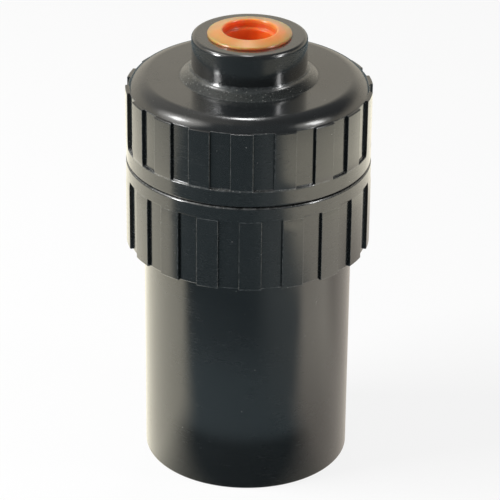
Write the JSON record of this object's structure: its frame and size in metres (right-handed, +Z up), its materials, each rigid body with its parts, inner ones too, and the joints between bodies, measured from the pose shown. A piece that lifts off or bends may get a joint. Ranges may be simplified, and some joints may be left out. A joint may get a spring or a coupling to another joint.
{
  "type": "pop up sprinkler",
  "caption": "Black pop up sprinkler with a plain barrel, a ribbed collar and screw cap, and an orange nozzle on a spring-held riser that lifts out of the neck.",
  "frame": {"origin": "centre of the flat base of the barrel", "axes": "+Z up along the axis from the inlet to the nozzle, -Y towards the front as pictured"},
  "size_m": [0.057, 0.057, 0.1072],
  "materials": {
    "black_plastic": "glossy moulded plastic",
    "black_tube": "smooth extruded plastic",
    "grey_plastic": "satin",
    "natural_plastic": "satin",
    "orange_plastic": "satin moulded plastic",
    "rubber": "matte",
    "steel": "drawn stainless wire"
  },
  "bodies": {
    "case": {"barrel": "black_tube", "inlet_base": "black_plastic", "body_collar": "black_plastic"},
    "lift": {"cap_gasket": "rubber", "spring_washer": "steel", "retraction_spring": "steel"},
    "cap_group": {"cap": "black_plastic", "wiper_seal": "rubber", "seal_retainer": "grey_plastic"},
    "guide": {"guide_ring": "natural_plastic"},
    "stem": {"riser": "black_plastic", "ratchet_plate": "grey_plastic", "check_holder": "natural_plastic", "check_seal": "rubber", "nozzle_base": "orange_plastic", "nozzle_seal": "rubber", "filter_screen": "natural_plastic"},
    "arc": {"arc_collar": "orange_plastic"},
    "screw": {"radius_screw": "steel"},
    "throttle": {"throttle_plug": "natural_plastic"}
  },
  "joints": [
    {"name": "cap_lift", "type": "slide", "parent": "case", "child": "lift", "axis": [0, 0, 1], "range_m": [0, 0.01]},
    {"name": "cap_turn", "type": "hinge", "parent": "lift", "child": "cap_group", "pos_m": [0, 0, 0.08], "axis": [0, 0, 1], "range_deg": [0, 900]},
    {"name": "riser_pop", "type": "slide", "parent": "lift", "child": "guide", "axis": [0, 0, 1], "range_m": [0, 0.048], "stiffness_N_per_m": 180, "deforming": ["retraction_spring"]},
    {"name": "riser_turn", "type": "hinge", "parent": "guide", "child": "stem", "pos_m": [0, 0, 0.03], "axis": [0, 0, 1], "continuous": true},
    {"name": "arc_turn", "type": "hinge", "parent": "stem", "child": "arc", "pos_m": [0, 0, 0.101], "axis": [0, 0, 1], "range_deg": [0, 170]},
    {"name": "screw_turn", "type": "hinge", "parent": "stem", "child": "screw", "pos_m": [0, 0, 0.095], "axis": [0, 0, -1], "range_deg": [0, 1440]},
    {"name": "throttle_lift", "type": "slide", "parent": "stem", "child": "throttle", "axis": [0, 0, 1], "range_m": [0, 0.0028]}
  ],
  "couplings": [
    {"joint": "cap_turn", "follows": "cap_lift", "rad_per_m": 1570.8},
    {"joint": "screw_turn", "follows": "throttle_lift", "rad_per_m": 8975.9}
  ]
}
